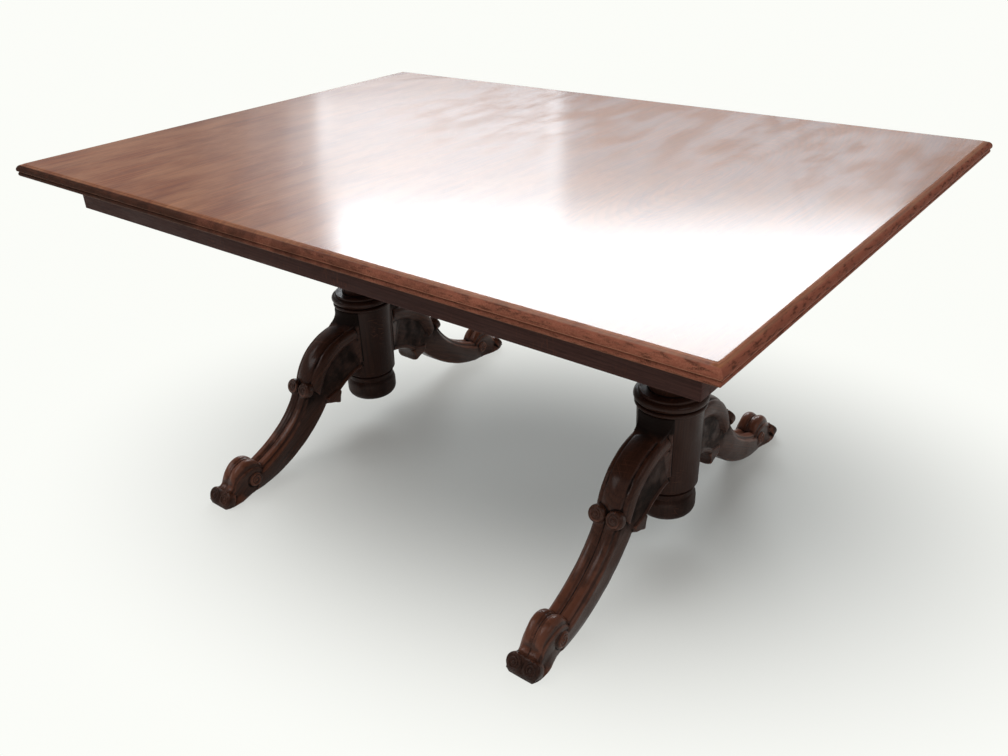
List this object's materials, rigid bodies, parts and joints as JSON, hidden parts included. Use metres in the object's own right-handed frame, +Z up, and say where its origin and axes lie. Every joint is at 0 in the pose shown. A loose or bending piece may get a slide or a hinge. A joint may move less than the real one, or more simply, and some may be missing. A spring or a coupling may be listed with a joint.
{
  "type": "pedestal dining table",
  "caption": "Oblong mahogany dining table: moulded-edge top on a plain frieze, carried by turned columns on carved scroll legs with volute knees and toes.",
  "frame": {"origin": "on the floor, under the middle of the top", "axes": "+X along the length of the top, +Y across it, +Z up"},
  "size_m": [1.547, 1.122, 0.735],
  "materials": {
    "top_wood": "French-polished gloss",
    "frieze_wood": "satin polish",
    "pedestal_wood": "waxed satin",
    "hidden_wood": "bare planed wood",
    "screw_steel": "aged steel"
  },
  "bodies": {
    "root": {"left_top_board": "top_wood", "middle_top_board": "top_wood", "right_top_board": "top_wood", "front_rail": "frieze_wood", "back_rail": "frieze_wood", "left_end_rail": "frieze_wood", "right_end_rail": "frieze_wood", "left_top_tongue": "hidden_wood", "right_top_tongue": "hidden_wood", "front_left_corner_block": "hidden_wood", "front_right_corner_block": "hidden_wood", "back_right_corner_block": "hidden_wood", "back_left_corner_block": "hidden_wood", "middle_cross_rail": "hidden_wood", "top_buttons": "hidden_wood", "left_bearer": "hidden_wood", "left_pedestal_block": "hidden_wood", "left_tenon_wedge": "hidden_wood", "left_column": "pedestal_wood", "left_drop": "pedestal_wood", "left_front_leg": "pedestal_wood", "left_back_leg": "pedestal_wood", "left_block_screws": "screw_steel", "right_bearer": "hidden_wood", "right_pedestal_block": "hidden_wood", "right_tenon_wedge": "hidden_wood", "right_column": "pedestal_wood", "right_drop": "pedestal_wood", "right_front_leg": "pedestal_wood", "right_back_leg": "pedestal_wood", "right_block_screws": "screw_steel", "button_screws": "screw_steel"}
  },
  "joints": []
}
